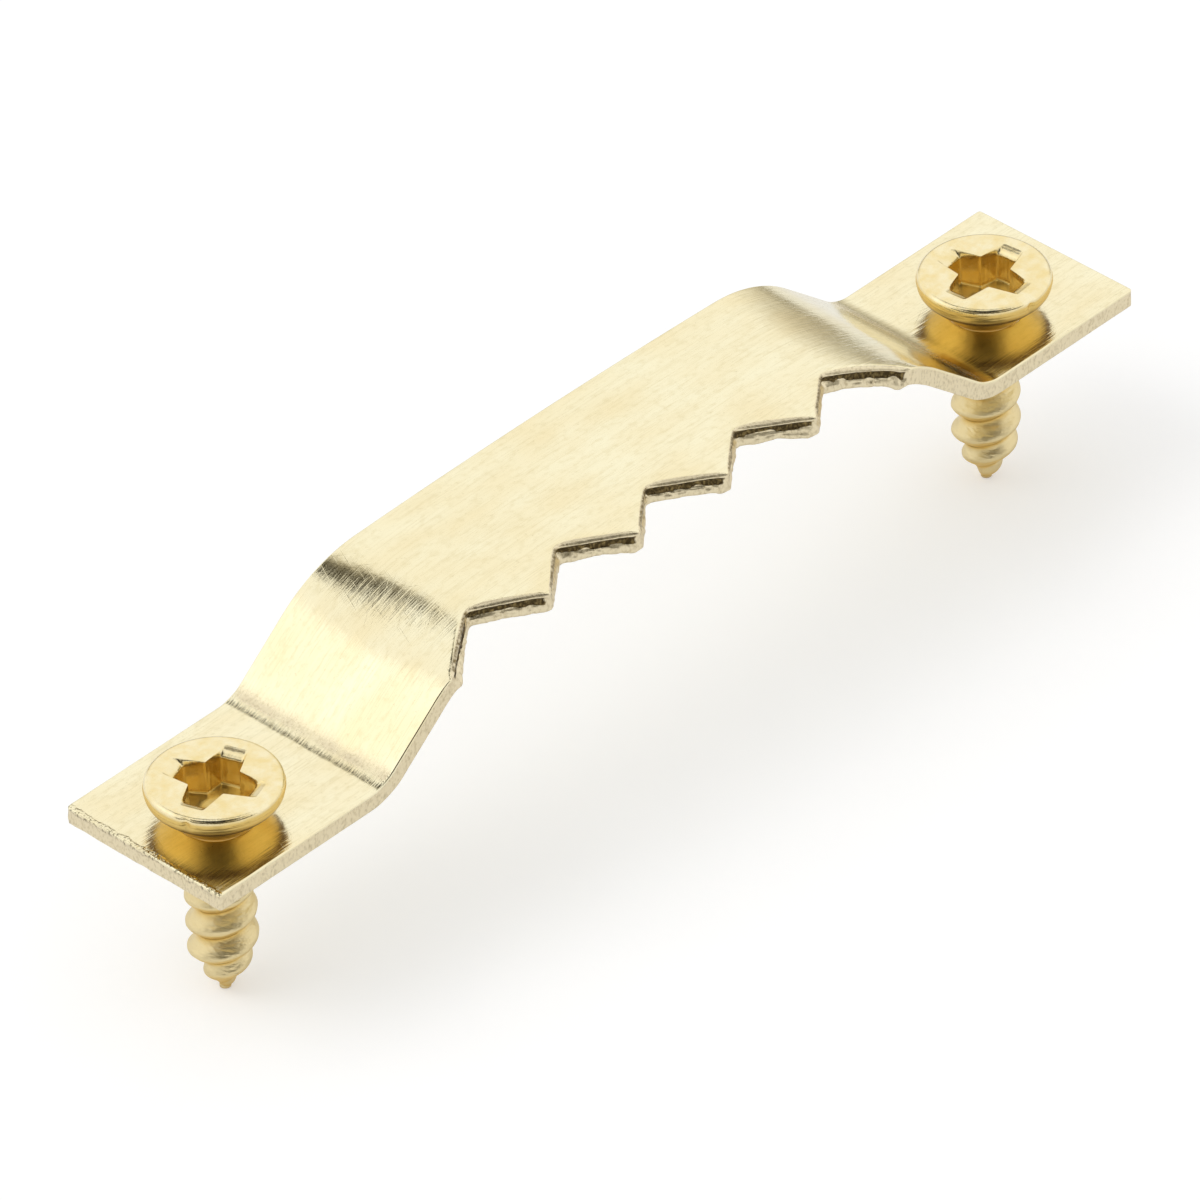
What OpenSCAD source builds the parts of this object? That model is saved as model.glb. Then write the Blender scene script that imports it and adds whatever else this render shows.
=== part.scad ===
// Sawtooth picture hanger: a bent strip with V notches and its two wood screws.
// The origin is on the plane of the tabs' undersides, in the middle of the strip.
// +X runs along the strip, the notches open towards -Y, and +Z points away from the picture frame.

/* [Strip] */
// Overall length of the strip
strip_len = 45; // [42:0.5:60]
// Width of the strip
strip_w = 7.15; // [6.5:0.05:9]
// Thickness of the sheet
sheet_t = 0.65; // [0.5:0.05:0.8]
// Radius on the strip's corners
corner_r = 0.12; // [0.04:0.02:1]

/* [Bends] */
// Flat length of the left tab, from the strip's end to the start of its bend
left_tab = 7.2; // [6:0.1:8.5]
// Flat length of the right tab
right_tab = 6.9; // [6:0.1:8.5]
// Clear height under the middle of the raised part
crown_gap = 3.55; // [3.2:0.05:4.2]
// Slope of the two ramps
ramp_angle = 39.2; // [36:0.2:46]
// Slope at the shoulders of the raised part, which bows it upwards
crown_angle = 1.9; // [0.5:0.1:4]
// Inside radius of the bends at the tabs
foot_bend_r = 1.5; // [0.8:0.1:3.2]
// Inside radius of the bends at the shoulders
shoulder_bend_r = 5.3; // [2:0.1:5.6]

/* [Notches] */
// Number of notches
notch_count = 5; // [3:1:5]
// Distance from one notch to the next
notch_pitch = 4.36; // [4.2:0.01:4.6]
// How far the middle notch lies from the middle of the strip
notch_shift = -0.32; // [-0.5:0.01:0.5]
// Depth of a notch
notch_depth = 1.53; // [1.2:0.01:2]
// Radius at the bottom of a notch
notch_r = 0.25; // [0.15:0.05:0.6]
// Length of the strip's own edge left at the tip between two notches
tip_land = 0.05; // [0.02:0.01:0.8]
// How far the bottom of a notch lies to the left of the middle of its mouth
notch_lean = 0.2; // [0:0.02:0.4]
// How much further the outermost flank of the first and last notch reaches
outer_reach = 0.3; // [0:0.05:0.8]

/* [Screw holes] */
// Diameter of the holes
hole_d = 2.7; // [2.6:0.05:3]
// Distance of the left hole's centre from the strip's left end
left_hole_in = 2.95; // [2.5:0.05:4.5]
// Distance of the right hole's centre from the strip's right end
right_hole_in = 4.22; // [2.5:0.01:4.5]
// How far the holes lie from the strip's middle line, towards the notches
hole_offset = 0.48; // [0:0.02:0.8]

/* [Screws] */
// Overall length of a screw
screw_len = 8.76; // [7:0.02:12]
// Diameter of the head
head_d = 4.7; // [4.2:0.05:5.2]
// Height of the head's upright rim, with its bevel
rim_h = 0.56; // [0.4:0.02:0.8]
// Width of the bevel round the head's top
head_bevel = 0.12; // [0.05:0.01:0.2]
// Angle of the head's countersink
sink_angle = 90; // [80:1:100]
// Outside diameter of the thread
thread_d = 2.44; // [2.2:0.02:2.5]
// Diameter at the root of the thread
root_d = 1.62; // [1.4:0.02:1.8]
// Distance from one turn of the thread to the next
thread_pitch = 1.1; // [1:0.05:1.25]
// Diameter of the plain neck under the head
neck_d = 2.3; // [2.1:0.05:2.4]
// How far the neck reaches below the strip
neck_below = 0.35; // [0.2:0.05:0.8]
// Length of the pointed end
point_len = 1.8; // [1.2:0.1:2.4]
// Diameter of the blunt tip
tip_d = 0.4; // [0.2:0.05:0.6]
// Turn of the left screw about its own axis
left_turn = 19; // [0:1:359]
// Turn of the right screw
right_turn = 276; // [0:1:359]

/* [Cross recess] */
// Depth of the recess in the head
recess_depth = 1.25; // [0.8:0.05:1.3]
// Distance across the recess from wing to wing, at the top
recess_span = 3.44; // [2.8:0.02:3.6]
// Distance across the recess at its floor
recess_floor_span = 2.4; // [1.9:0.05:2.5]
// Depth of the sloping lip at the outer end of each wing
wing_lip = 0.3; // [0.1:0.02:0.4]
// Width of a wing at its outer end
wing_w = 0.84; // [0.6:0.02:1]
// Distance across the recess from one inner corner to the opposite one
core_span = 1.8; // [1.6:0.05:1.84]

/* [Hidden] */
$fn = 96;

// Overrun of every cut past the surface it leaves by
over = 0.5;
// Steps in a bend, in the bow of the raised part and round a notch's bottom
bend_steps = 12;
crown_steps = 24;
notch_steps = 10;
// Play between a screw's countersink and the edge of its hole
seat_gap = 0.02;
// How far the threaded shank reaches up into the neck
shank_lap = 0.15;
// Sides of the threaded shank and rings in one turn of its thread
thread_sides = 24;
thread_rings = 10;
// Turns of thread over which the ridge rises from the neck
thread_start_share = 0.6;
// Roundness of the thread's crest and fullness of the pointed end, as exponents
crest_power = 0.9;
point_power = 0.6;
// Angle at which the thread meets the tip, in a screw's own frame
thread_angle = 269;
// Depth and radius of the small cone under the recess's floor
recess_cone_depth = 0.2;
recess_cone_d = 0.9;
// How much wider than the inner corners the bars are that slope the wings' ends
bar_margin = 0.1;

// Bends, measured on the middle of the sheet
half_t = sheet_t / 2;
foot_mid_r = foot_bend_r + half_t;
shoulder_mid_r = shoulder_bend_r + half_t;
foot_rise = foot_mid_r * (1 - cos(ramp_angle));
foot_run = foot_mid_r * sin(ramp_angle);
shoulder_rise = shoulder_mid_r * (cos(crown_angle) - cos(ramp_angle));
shoulder_run = shoulder_mid_r * (sin(ramp_angle) - sin(crown_angle));
// Half the raised part's chord if the ramps had no straight length, and its rise for each length of that half
open_half = (strip_len - left_tab - right_tab) / 2 - foot_run - shoulder_run;
bow = tan(crown_angle / 2);
ramp_rise = (crown_gap - foot_rise - shoulder_rise - open_half * bow) / (1 - bow / tan(ramp_angle));
ramp_run = ramp_rise / tan(ramp_angle);
crown_half = open_half - ramp_run;
crown_r = crown_half / sin(crown_angle);
crown_mid = (left_tab - right_tab) / 2;
crown_top = crown_gap + sheet_t;

// Screws, from the plane of the tabs' undersides
hole_r = hole_d / 2;
head_r = head_d / 2;
seat_z = sheet_t + seat_gap;
sink_slope = tan(sink_angle / 2);
rim_bottom = seat_z + (head_r - hole_r) / sink_slope;
face_z = rim_bottom + rim_h;
neck_top = seat_z - (hole_r - neck_d / 2) / sink_slope;
tip_z = face_z - screw_len;
left_x = left_hole_in - strip_len / 2;
right_x = strip_len / 2 - right_hole_in;

// Points and slopes of the left half of a foot and shoulder, from the strip's end inwards.
// Each entry is [distance from the end, height of the sheet's middle, slope].
function foot_arc(tab) = [
    for (i = [0:bend_steps])
        let (a = ramp_angle * i / bend_steps)
        [tab + foot_mid_r * sin(a), half_t + foot_mid_r * (1 - cos(a)), a]
];
function shoulder_arc(tab) = [
    for (i = [0:bend_steps])
        let (a = ramp_angle + (crown_angle - ramp_angle) * i / bend_steps)
        let (run = shoulder_mid_r * (sin(ramp_angle) - sin(a)))
        let (rise = shoulder_mid_r * (cos(a) - cos(ramp_angle)))
        [tab + foot_run + ramp_run + run, half_t + foot_rise + ramp_rise + rise, a]
];
function side_path(tab) = concat([[0, half_t, 0]], foot_arc(tab), shoulder_arc(tab));

// The bowed top runs from slope crown_angle to minus crown_angle
function crown_path() = [
    for (i = [1:crown_steps - 1])
        let (a = crown_angle * (1 - 2 * i / crown_steps))
        [crown_mid - crown_r * sin(a), half_t + crown_gap + crown_r * (cos(a) - 1), a]
];

function left_path() = [for (p = side_path(left_tab)) [p[0] - strip_len / 2, p[1], p[2]]];
function right_path() = let (side = side_path(right_tab), last = len(side) - 1)
    [for (i = [0:last]) let (p = side[last - i]) [strip_len / 2 - p[0], p[1], -p[2]]];
function strip_path() = concat(left_path(), crown_path(), right_path());

// The two faces lie half a thickness to each side of the sheet's middle
function face_points(path, side) = [
    for (p = path) [p[0] - side * half_t * sin(p[2]), p[1] + side * half_t * cos(p[2])]
];
function backwards(list) = [for (i = [len(list) - 1:-1:0]) list[i]];

// A notch: two straight flanks that touch the circle at its bottom
mouth_half = (notch_pitch - tip_land) / 2;
notch_centre = notch_depth - notch_r;
function flank_angle(run) =
    atan2(notch_centre, run) + asin(notch_r / sqrt(run * run + notch_centre * notch_centre));
function notch_points(left_run, right_run) =
    let (left_angle = flank_angle(left_run), right_angle = flank_angle(right_run))
    concat(
        [[-left_run, -over], [-left_run, 0]],
        [
            for (i = [0:notch_steps])
                let (a = left_angle - (left_angle + right_angle) * i / notch_steps)
                [-notch_r * sin(a), notch_centre + notch_r * cos(a)]
        ],
        [[right_run, 0], [right_run, -over]]
    );

module strip_side() {
    path = strip_path();
    polygon(concat(face_points(path, -1), backwards(face_points(path, 1))));
}

module notch(left_run, right_run) {
    translate([0, 0, -over])
        linear_extrude(crown_top + 2 * over) polygon(notch_points(left_run, right_run));
}

module corner_cut() {
    translate([-corner_r, -corner_r, -over]) difference() {
        cube([corner_r + over, corner_r + over, sheet_t + 2 * over]);
        translate([0, 0, -over]) cylinder(r = corner_r, h = sheet_t + 4 * over);
    }
}

module screw_hole(x) {
    translate([x, -hole_offset, -over]) cylinder(r = hole_r, h = sheet_t + 2 * over);
}

module hanger_strip() {
    color("#ecd9a0") difference() {
        rotate([90, 0, 0]) linear_extrude(strip_w, center = true) strip_side();
        for (i = [0:notch_count - 1]) {
            x = notch_shift + (i - (notch_count - 1) / 2) * notch_pitch;
            left_run = mouth_half - notch_lean + (i == 0 ? outer_reach : 0);
            right_run = mouth_half + notch_lean + (i == notch_count - 1 ? outer_reach : 0);
            translate([x, -strip_w / 2, 0]) notch(left_run, right_run);
        }
        for (side = [0, 1]) mirror([side, 0, 0])
            for (edge = [0, 1]) mirror([0, edge, 0])
                translate([strip_len / 2, strip_w / 2, 0]) corner_cut();
        screw_hole(left_x);
        screw_hole(right_x);
    }
}

// Outline of the recess from above: four wings that widen towards the middle
function wing_points(turn) = [
    for (p = [[recess_span, -wing_w], [recess_span, wing_w], [core_span / sqrt(2), core_span / sqrt(2)]])
        [p[0] * cos(turn) - p[1] * sin(turn), p[0] * sin(turn) + p[1] * cos(turn)] / 2
];

// A bar across the head, which gives two wings their end walls: a lip at 45 degrees and a steep wall under it
module recess_bar() {
    top = recess_span / 2;
    lip = top - wing_lip;
    bottom = recess_floor_span / 2;
    rotate([90, 0, 0]) linear_extrude(core_span / sqrt(2) + bar_margin, center = true)
        polygon([
            [-bottom, -recess_depth], [bottom, -recess_depth], [lip, -wing_lip],
            [top + over, over], [-top - over, over], [-lip, -wing_lip]
        ]);
}

module recess() {
    intersection() {
        translate([0, 0, -recess_depth]) linear_extrude(recess_depth + over)
            polygon([for (turn = [0:90:270]) for (p = wing_points(turn)) p]);
        union() {
            recess_bar();
            rotate([0, 0, 90]) recess_bar();
        }
    }
    translate([0, 0, -recess_depth - recess_cone_depth])
        cylinder(r1 = 0, r2 = recess_cone_d / 2, h = recess_cone_depth);
}

module head() {
    difference() {
        rotate_extrude() polygon([
            [0, face_z], [head_r - head_bevel, face_z], [head_r, face_z - head_bevel],
            [head_r, rim_bottom], [neck_d / 2, neck_top],
            [neck_d / 2, -neck_below], [0, -neck_below]
        ]);
        translate([0, 0, face_z]) recess();
    }
}

// Threaded shank: a root with one right-hand ridge, both drawn in together along the pointed end
shank_top = shank_lap - neck_below;
shank_len = shank_top - tip_z;
shank_rings = ceil(shank_len / thread_pitch * thread_rings);
function ridge(z, a) =
    let (turns = (z - tip_z) / thread_pitch - (a - thread_angle) / 360)
    let (crest = pow((1 + cos(turns * 360)) / 2, crest_power))
    let (start = min(1, max(0, (-neck_below - z) / (thread_start_share * thread_pitch))))
    (thread_d - root_d) / 2 * crest * start;
function point_share(z) = pow(min(1, max(0, (z - tip_z) / point_len)), point_power);
function shank_r(z, a) = max(tip_d / 2, (root_d / 2 + ridge(z, a)) * point_share(z));

module shank() {
    points = [
        for (i = [0:shank_rings])
            let (z = tip_z + shank_len * i / shank_rings)
            for (k = [0:thread_sides - 1])
                let (a = 360 * k / thread_sides, r = shank_r(z, a))
                [r * cos(a), r * sin(a), z]
    ];
    sides = [
        for (i = [0:shank_rings - 1])
            for (k = [0:thread_sides - 1])
                let (next = (k + 1) % thread_sides, low = i * thread_sides, high = low + thread_sides)
                each [[low + k, high + k, low + next], [low + next, high + k, high + next]]
    ];
    bottom = [for (k = [0:thread_sides - 1]) k];
    top = [for (k = [thread_sides - 1:-1:0]) shank_rings * thread_sides + k];
    polyhedron(points, concat([bottom], sides, [top]));
}

module screw(x, turn) {
    color("#e3c477") translate([x, -hole_offset, 0]) rotate([0, 0, turn]) {
        head();
        shank();
    }
}

module left_screw() {
    screw(left_x, left_turn);
}

module right_screw() {
    screw(right_x, right_turn);
}

hanger_strip();
left_screw();
right_screw();
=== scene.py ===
"""Looks of the sawtooth picture hanger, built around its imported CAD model.

The hanger is a notched and bent strip of brass-plated steel with two countersunk wood screws.
Sizes are in millimetres in the classes and become metres when a mesh is made.
"""
import logging
import math
from dataclasses import dataclass, field
from enum import Enum

import bmesh
import bpy
import numpy as np
from mathutils import Matrix, Vector


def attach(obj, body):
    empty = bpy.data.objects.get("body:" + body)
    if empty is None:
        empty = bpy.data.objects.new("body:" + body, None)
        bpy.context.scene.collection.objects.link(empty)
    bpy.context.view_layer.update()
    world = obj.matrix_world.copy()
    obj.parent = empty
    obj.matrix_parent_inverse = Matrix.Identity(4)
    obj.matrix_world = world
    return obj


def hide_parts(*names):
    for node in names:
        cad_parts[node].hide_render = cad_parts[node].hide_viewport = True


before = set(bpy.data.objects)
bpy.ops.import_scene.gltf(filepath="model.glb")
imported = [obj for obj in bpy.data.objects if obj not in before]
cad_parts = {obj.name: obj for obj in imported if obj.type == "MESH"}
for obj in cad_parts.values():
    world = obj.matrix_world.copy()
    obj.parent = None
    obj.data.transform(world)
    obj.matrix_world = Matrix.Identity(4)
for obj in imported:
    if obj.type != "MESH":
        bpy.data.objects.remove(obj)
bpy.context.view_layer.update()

log = logging.getLogger("hanger")
MM = 0.001
# Points of a mesh that lie closer than this become one
MERGE_GAP = 2e-4 * MM
WHITE = "#ffffff"
# What goes into a node: in the order of its inputs, or by their names or numbers
Inputs = dict[str | int, object] | tuple[object, ...]
# A noise: its grain's size in millimetres along each axis, and its number of finer layers
Pattern = tuple[tuple[float, float, float], float]
# Radius and height of a ring of points round an axis
Ring = tuple[np.ndarray | float, np.ndarray | float]


class Slot(Enum):
    """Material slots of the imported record."""

    STRIP = "strip_brass"
    SCREW = "screw_brass"


# Small helpers


def linear(hex_text: str) -> tuple[float, float, float, float]:
    """Turns an sRGB colour into the linear colour that a shader reads.

    Args:
        hex_text: the colour as "#rrggbb".

    Returns:
        Linear red, green and blue, and a full alpha.
    """
    parts = [int(hex_text[i : i + 2], 16) / 255 for i in (1, 3, 5)]
    curve = [c / 12.92 if c <= 0.04045 else ((c + 0.055) / 1.055) ** 2.4 for c in parts]
    return (curve[0], curve[1], curve[2], 1.0)


def add_object(name: str, data: bpy.types.ID) -> bpy.types.Object:
    """Puts a mesh, lamp or camera into the scene.

    Args:
        name: name of the object.
        data: what it shows.

    Returns:
        The new object, at the origin.
    """
    made = bpy.data.objects.new(name, data)
    bpy.context.scene.collection.objects.link(made)
    return made


def lattice_noise(u: np.ndarray, v: np.ndarray | float, seed: int) -> np.ndarray:
    """Smooth noise: seeded random values on whole numbers of u and v, joined by smooth steps.

    Args:
        u: first parameter, in units of the noise's grain.
        v: second parameter, broadcast with u.
        seed: picks the random values.

    Returns:
        Values from -1 to 1, in the shape of u and v together.
    """
    table = np.random.default_rng(seed).uniform(-1, 1, (256, 256))
    u, v = np.broadcast_arrays(u, v)
    iu, iv = np.floor(u).astype(int), np.floor(v).astype(int)
    fu, fv = u - iu, v - iv
    fu, fv = fu * fu * (3 - 2 * fu), fv * fv * (3 - 2 * fv)
    near = table[iu % 256, iv % 256] * (1 - fu) + table[(iu + 1) % 256, iv % 256] * fu
    far = table[iu % 256, (iv + 1) % 256] * (1 - fu) + table[(iu + 1) % 256, (iv + 1) % 256] * fu
    return near * (1 - fv) + far * fv


def smoothed(values: np.ndarray, sigma: float, closed: bool = False) -> np.ndarray:
    """Rounds a row of samples with a bell-shaped kernel.

    Args:
        values: samples at equal steps.
        sigma: width of the bell, in samples.
        closed: True if the row ends where it starts.

    Returns:
        The rounded samples.
    """
    reach = int(4 * sigma) + 1
    bell = np.exp(-0.5 * (np.arange(-reach, reach + 1) / sigma) ** 2)
    padded = np.pad(values, reach, mode="wrap" if closed else "edge")
    return np.convolve(padded, bell / bell.sum(), mode="valid")


@dataclass
class Patch:
    """A grid of points that becomes quads, with a mark for each point that its finish reads.

    On the strip the mark says how much wear, tearing or painted shade the metal has, and on a screw how much
    painted shade it has.
    """

    points: np.ndarray
    mark: np.ndarray | None = None
    closed: bool = False

    def faces(self, start: int) -> np.ndarray:
        """Corners of the grid's quads.

        Args:
            start: number of the grid's first point in the whole mesh.

        Returns:
            One row of four point numbers for each quad.
        """
        rows, columns = self.points.shape[:2]
        number = start + np.arange(rows * columns).reshape(rows, columns)
        if self.closed:
            number = np.concatenate([number, number[:, :1]], axis=1)
        corners = (number[:-1, :-1], number[:-1, 1:], number[1:, 1:], number[1:, :-1])
        return np.stack([c.ravel() for c in corners], axis=1)


def mesh_from_patches(name: str, patches: list[Patch], material: bpy.types.Material) -> bpy.types.Object:
    """Joins grids into one closed mesh object that stands at the origin.

    Args:
        name: name of the piece.
        patches: grids of points in millimetres, which meet along their borders.
        material: finish of the piece.

    Returns:
        The new object, with its points in metres, smooth faces that point outwards and the attribute "mark".
    """
    sizes = [p.points.shape[0] * p.points.shape[1] for p in patches]
    starts = np.cumsum([0] + sizes)
    points = np.concatenate([p.points.reshape(-1, 3) for p in patches]) * MM
    quads = np.concatenate([p.faces(int(s)) for p, s in zip(patches, starts)])
    marks = np.concatenate([np.zeros(n) if p.mark is None else p.mark.ravel() for p, n in zip(patches, sizes)])
    mesh = bpy.data.meshes.new(name)
    mesh.from_pydata(points, [], quads.tolist())
    mesh.attributes.new("mark", "FLOAT", "POINT").data.foreach_set("value", marks.astype(np.float32))
    work = bmesh.new()
    work.from_mesh(mesh)
    bmesh.ops.remove_doubles(work, verts=work.verts, dist=MERGE_GAP)
    bmesh.ops.recalc_face_normals(work, faces=work.faces)
    work.to_mesh(mesh)
    work.free()
    mesh.polygons.foreach_set("use_smooth", np.ones(len(mesh.polygons), bool))
    mesh.materials.append(material)
    return add_object(name, mesh)


# Finishes


class NodeBuild:
    """The node tree of a new material or world under construction."""

    def __init__(self, owner: bpy.types.Material | bpy.types.World) -> None:
        """Empties the owner's tree.

        Args:
            owner: the material or world.
        """
        owner.use_nodes = True
        self.tree = owner.node_tree
        self.tree.nodes.clear()

    def add(self, kind: str, inputs: Inputs = (), **settings: object) -> bpy.types.NodeOutputs:
        """Adds a node with its settings and its links.

        Args:
            kind: the node's type, without the word ShaderNode.
            inputs: what goes into it. Another node's output is linked, a colour given as sRGB text is turned
                to linear, and any other value is set.
            settings: properties of the node itself.

        Returns:
            The new node's outputs.
        """
        node = self.tree.nodes.new("ShaderNode" + kind)
        for name, value in settings.items():
            setattr(node, name, value)
        for name, value in inputs.items() if isinstance(inputs, dict) else enumerate(inputs):
            if isinstance(value, bpy.types.NodeSocket):
                self.tree.links.new(value, node.inputs[name])
            else:
                node.inputs[name].default_value = linear(value) if isinstance(value, str) else value
        return node.outputs


class FinishTree(NodeBuild):
    """A metal material under construction: noise, coats of colour and bumps that the finishes share."""

    def __init__(self, name: str) -> None:
        """Starts an empty node material.

        Args:
            name: name of the material.
        """
        self.material = bpy.data.materials.new(name)
        super().__init__(self.material)
        self.place = self.add("TexCoord")["Object"]
        self.mark = self.add("Attribute", attribute_name="mark")["Fac"]
        self.axes = self.add("SeparateXYZ", (self.place,))

    def noise(self, grain: tuple[float, float, float], detail: float,
              turn: float = 0.0) -> bpy.types.NodeSocket:
        """Noise from 0 to 1 in the grain and finer layers of a pattern, turned about z."""
        moved = self.add("Mapping", {"Vector": self.place, "Rotation": (0.0, 0.0, turn),
                                     "Scale": [g * MM for g in grain]}, vector_type="TEXTURE")[0]
        return self.add("TexNoise", {"Vector": moved, "Scale": 1.0, "Detail": detail})[0]

    def coats(self, colour: bpy.types.NodeSocket | str,
              layers: list[tuple[bpy.types.NodeSocket, bpy.types.NodeSocket | str]]) -> bpy.types.NodeSocket:
        """Lays colours over one another, each of them mixed in by its share.

        Args:
            colour: the lowest colour.
            layers: share from 0 to 1 and colour, for each layer.

        Returns:
            The colour that is seen.
        """
        for share, shade in layers:
            colour = self.add("Mix", {0: share, 6: colour, 7: shade}, data_type="RGBA")[2]
        return colour

    def bumps(self, layers: list[tuple[bpy.types.NodeSocket, float]]) -> bpy.types.NodeSocket:
        """Lays bumps on one another.

        Args:
            layers: height from 0 to 1 and its size in millimetres, for each layer.

        Returns:
            The bumped normal.
        """
        normal = None
        for height, size in layers:
            inputs: Inputs = {"Height": height, "Distance": size * MM}
            if normal is not None:
                inputs["Normal"] = normal
            normal = self.add("Bump", inputs)[0]
        return normal

    def metal(self, colour: bpy.types.NodeSocket, roughness: bpy.types.NodeSocket,
              normal: bpy.types.NodeSocket) -> bpy.types.Material:
        """Ends the material with a metal surface.

        Args:
            colour: its colour.
            roughness: its roughness.
            normal: its bumped normal.

        Returns:
            The finished material.
        """
        shader = self.add("BsdfPrincipled", {"Base Color": colour, "Metallic": 1.0, "Roughness": roughness,
                                             "Normal": normal})[0]
        self.add("OutputMaterial", {"Surface": shader})
        return self.material


@dataclass(frozen=True)
class BrushedBrassPlate:
    """Thin brass plating on steel sheet that was brushed along its length.

    The eye gets a pale straw metal whose reflections break up into fine lines along the strip. Where the die
    tore the edge, the surface is matt brown and uneven. Brush lines and scratches are about 0.02 mm wide on
    the real one, and are drawn 0.05 mm wide so that they show.
    """

    pale: str = "#fdf5d2"
    warm: str = "#f9ebc0"
    torn: str = "#4c3f27"
    torn_light: str = "#9a8659"
    sheared: str = "#f0e2bf"
    line_shade: str = "#e2d3a4"
    lines: Pattern = ((1.6, 0.05, 1.6), 2.0)
    strokes: Pattern = ((1.1, 0.15, 1.1), 1.0)
    dents: Pattern = ((0.45, 0.45, 0.45), 2.0)
    clouds: Pattern = ((3.0, 1.6, 3.0), 2.0)
    specks: Pattern = ((0.12, 0.12, 0.12), 1.0)
    mottles: Pattern = ((0.35, 0.22, 0.3), 3.0)
    grain: Pattern = ((0.1, 0.1, 0.16), 3.0)
    scratches: Pattern = ((1.4, 0.05, 1.4), 0.0)
    scratch_turns: tuple[float, float, float] = (0.5, -0.8, 1.2)
    lumps: Pattern = ((0.16, 0.16, 0.16), 2.0)
    tears: Pattern = ((0.12, 0.12, 0.3), 2.0)
    burr_border: Pattern = ((0.5, 0.5, 0.5), 3.0)
    burr_foot: Pattern = ((0.35, 0.35, 0.35), 2.0)
    roughness: float = 0.12
    worn_rough: float = 0.2
    torn_rough: float = 0.15
    dent_height: float = 0.006
    stroke_height: float = 0.006
    line_height: float = 0.0052
    scratch_height: float = 0.001
    lump_height: float = 0.04
    tear_height: float = 0.012
    left_end: float = -22.5
    burr_wander: float = 0.34
    burr_low: float = 0.62
    burr_rise: float = 0.3

    def material(self) -> bpy.types.Material:
        """Builds the material from noise stretched along the strip.

        Returns:
            The node-based material.
        """
        made = FinishTree("brushed_brass_plate")
        lines, strokes, dents, clouds, specks, mottles, grain = (made.noise(*pattern) for pattern in (
            self.lines, self.strokes, self.dents, self.clouds, self.specks, self.mottles, self.grain))
        # The torn band shows where the mark and its grain together pass a threshold
        torn = made.add("Math", (grain, 0.5, made.mark), operation="MULTIPLY_ADD")[0]
        torn = made.add("MapRange", (torn, 0.76, 0.96))[0]
        # The mark's low values, up to 0.12, are real wear on the sheared edge and painted shade in the hollows
        # of the foot bends and on the notches' rolled edges; both give the plate the edge colour and more
        # roughness
        wear_and_shade = made.add("MapRange", (made.mark, 0.02, 0.12))[0]
        burr = self._burr(made)
        shades = (
            (clouds, 0.3, 0.7, 1.0, self.warm), (specks, 0.66, 0.85, 0.2, self.torn_light),
            (lines, 0.5, 0.75, 0.32, self.line_shade), (strokes, 0.5, 0.8, 0.15, self.line_shade),
            (mottles, 0.5, 0.8, 0.45, self.line_shade),
        )
        plate = made.coats(self.pale, [(made.add("MapRange", (noise, low, high, 0.0, most))[0], shade)
                                       for noise, low, high, most, shade in shades])
        flecks, spots, stains = (made.add("MapRange", (grain, low, high, 0.0, most))[0] for low, high, most in (
            (0.48, 0.75, 0.45), (0.45, 0.75, 1.0), (0.54, 0.6, 0.6)))
        stains = made.add("Math", (burr, stains), operation="MULTIPLY")[0]
        edge = made.coats(self.sheared, [(flecks, self.torn_light)])
        tear = made.coats(self.torn, [(spots, self.torn_light)])
        # The edge colour goes on both as edge wear and as painted shade
        colour = made.coats(plate, [(wear_and_shade, edge), (torn, tear), (stains, self.torn)])
        rough = made.add("MapRange", (lines, 0.3, 0.7, self.roughness - 0.02, self.roughness + 0.05))[0]
        rough = made.add("Math", (wear_and_shade, self.worn_rough, rough), operation="MULTIPLY_ADD")[0]
        rough = made.add("Math", (torn, self.torn_rough, rough), operation="MULTIPLY_ADD")[0]
        lumps = made.add("Math", (burr, made.noise(*self.lumps)), operation="MULTIPLY")[0]
        tears = made.add("Math", (wear_and_shade, made.noise(*self.tears)), operation="MULTIPLY")[0]
        normal = made.bumps([
            (dents, self.dent_height), (strokes, self.stroke_height), (lines, self.line_height),
            (self._scratches(made), self.scratch_height), (lumps, self.lump_height), (tears, self.tear_height),
        ])
        return made.metal(colour, rough, normal)

    def _burr(self, made: FinishTree) -> bpy.types.NodeSocket:
        """The top of the strip's left end, where a cutter that had lost its edge left a burr whose border
        wanders.

        Args:
            made: the material under construction.

        Returns:
            1 on the burr and 0 away from it.
        """
        wander = made.add("Math", (made.noise(*self.burr_border), self.burr_wander * MM), operation="MULTIPLY")
        inner = made.add("Math", (made.axes["X"], wander[0]), operation="SUBTRACT")[0]
        end = made.add("MapRange", (inner, (self.left_end + 0.02) * MM, (self.left_end - 0.04) * MM))[0]
        foot = (made.noise(*self.burr_foot), self.burr_rise * MM, made.axes["Z"])
        height = made.add("Math", foot, operation="MULTIPLY_ADD")[0]
        top = made.add("MapRange", (height, self.burr_low * MM, (self.burr_low + 0.08) * MM))[0]
        return made.add("Math", (end, top), operation="MULTIPLY")[0]

    def _scratches(self, made: FinishTree) -> bpy.types.NodeSocket:
        """Sparse short scratches in three directions.

        Args:
            made: the material under construction.

        Returns:
            1 in a scratch and 0 elsewhere.
        """
        first, second, third = (made.add("MapRange", (made.noise(*self.scratches, turn), 0.74, 0.84))[0]
                                for turn in self.scratch_turns)
        two = made.add("Math", (first, second), operation="MAXIMUM")[0]
        return made.add("Math", (two, third), operation="MAXIMUM")[0]


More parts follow.
